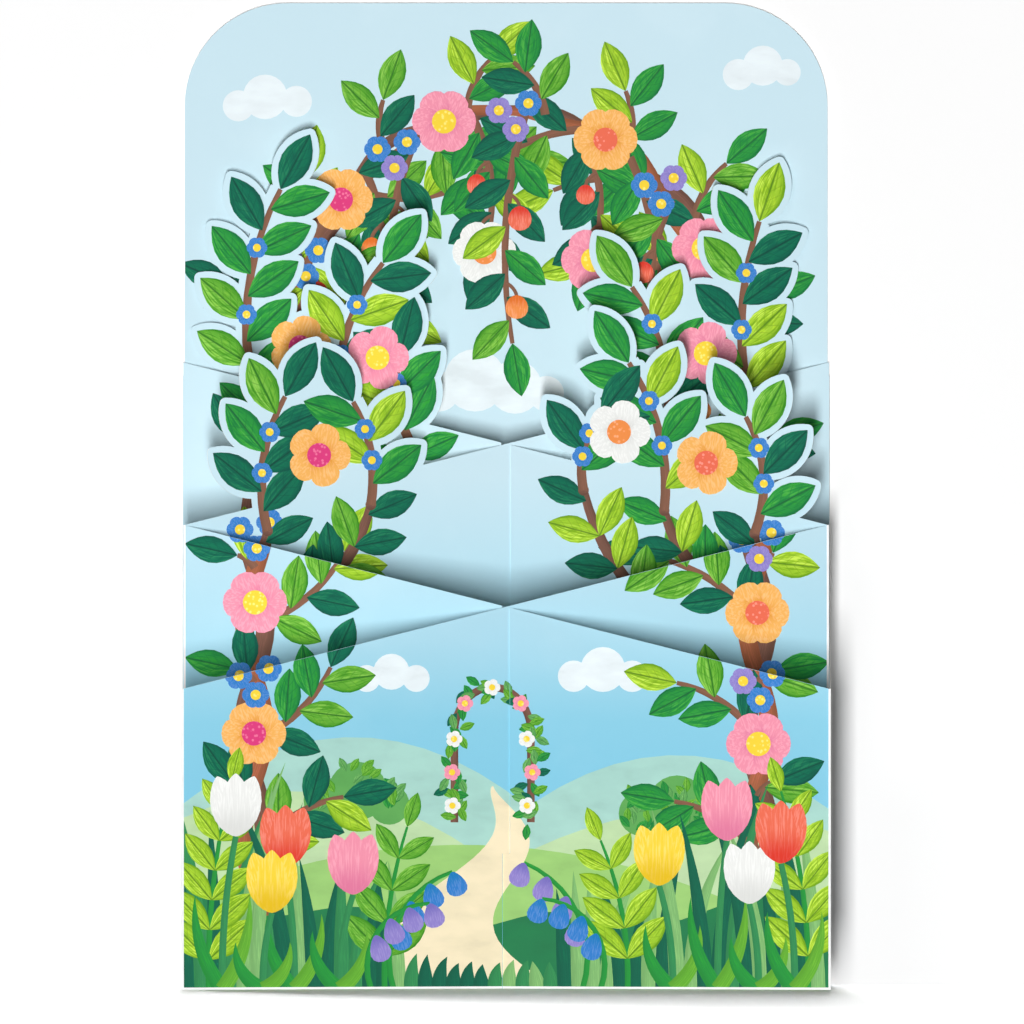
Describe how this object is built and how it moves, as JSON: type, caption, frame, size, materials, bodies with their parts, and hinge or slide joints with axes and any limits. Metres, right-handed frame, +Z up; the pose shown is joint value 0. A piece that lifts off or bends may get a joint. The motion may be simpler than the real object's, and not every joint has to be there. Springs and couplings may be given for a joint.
{
  "type": "pop up card",
  "caption": "Standing pop up card: a tall back panel with rounded top corners, and slotted concertina strips with die-cut foliage that open in front of it.",
  "frame": {"origin": "on the table, under the middle of the card's bounding box", "axes": "+Z up, the printed front faces -Y, +X to the right as seen from the front"},
  "size_m": [0.1448, 0.0598, 0.22],
  "materials": {
    "printed_board": "smooth coated board, printed on the front and white behind"
  },
  "bodies": {
    "root": {"back_panel": "printed_board", "left_concertina": "printed_board", "right_concertina": "printed_board"}
  },
  "joints": []
}
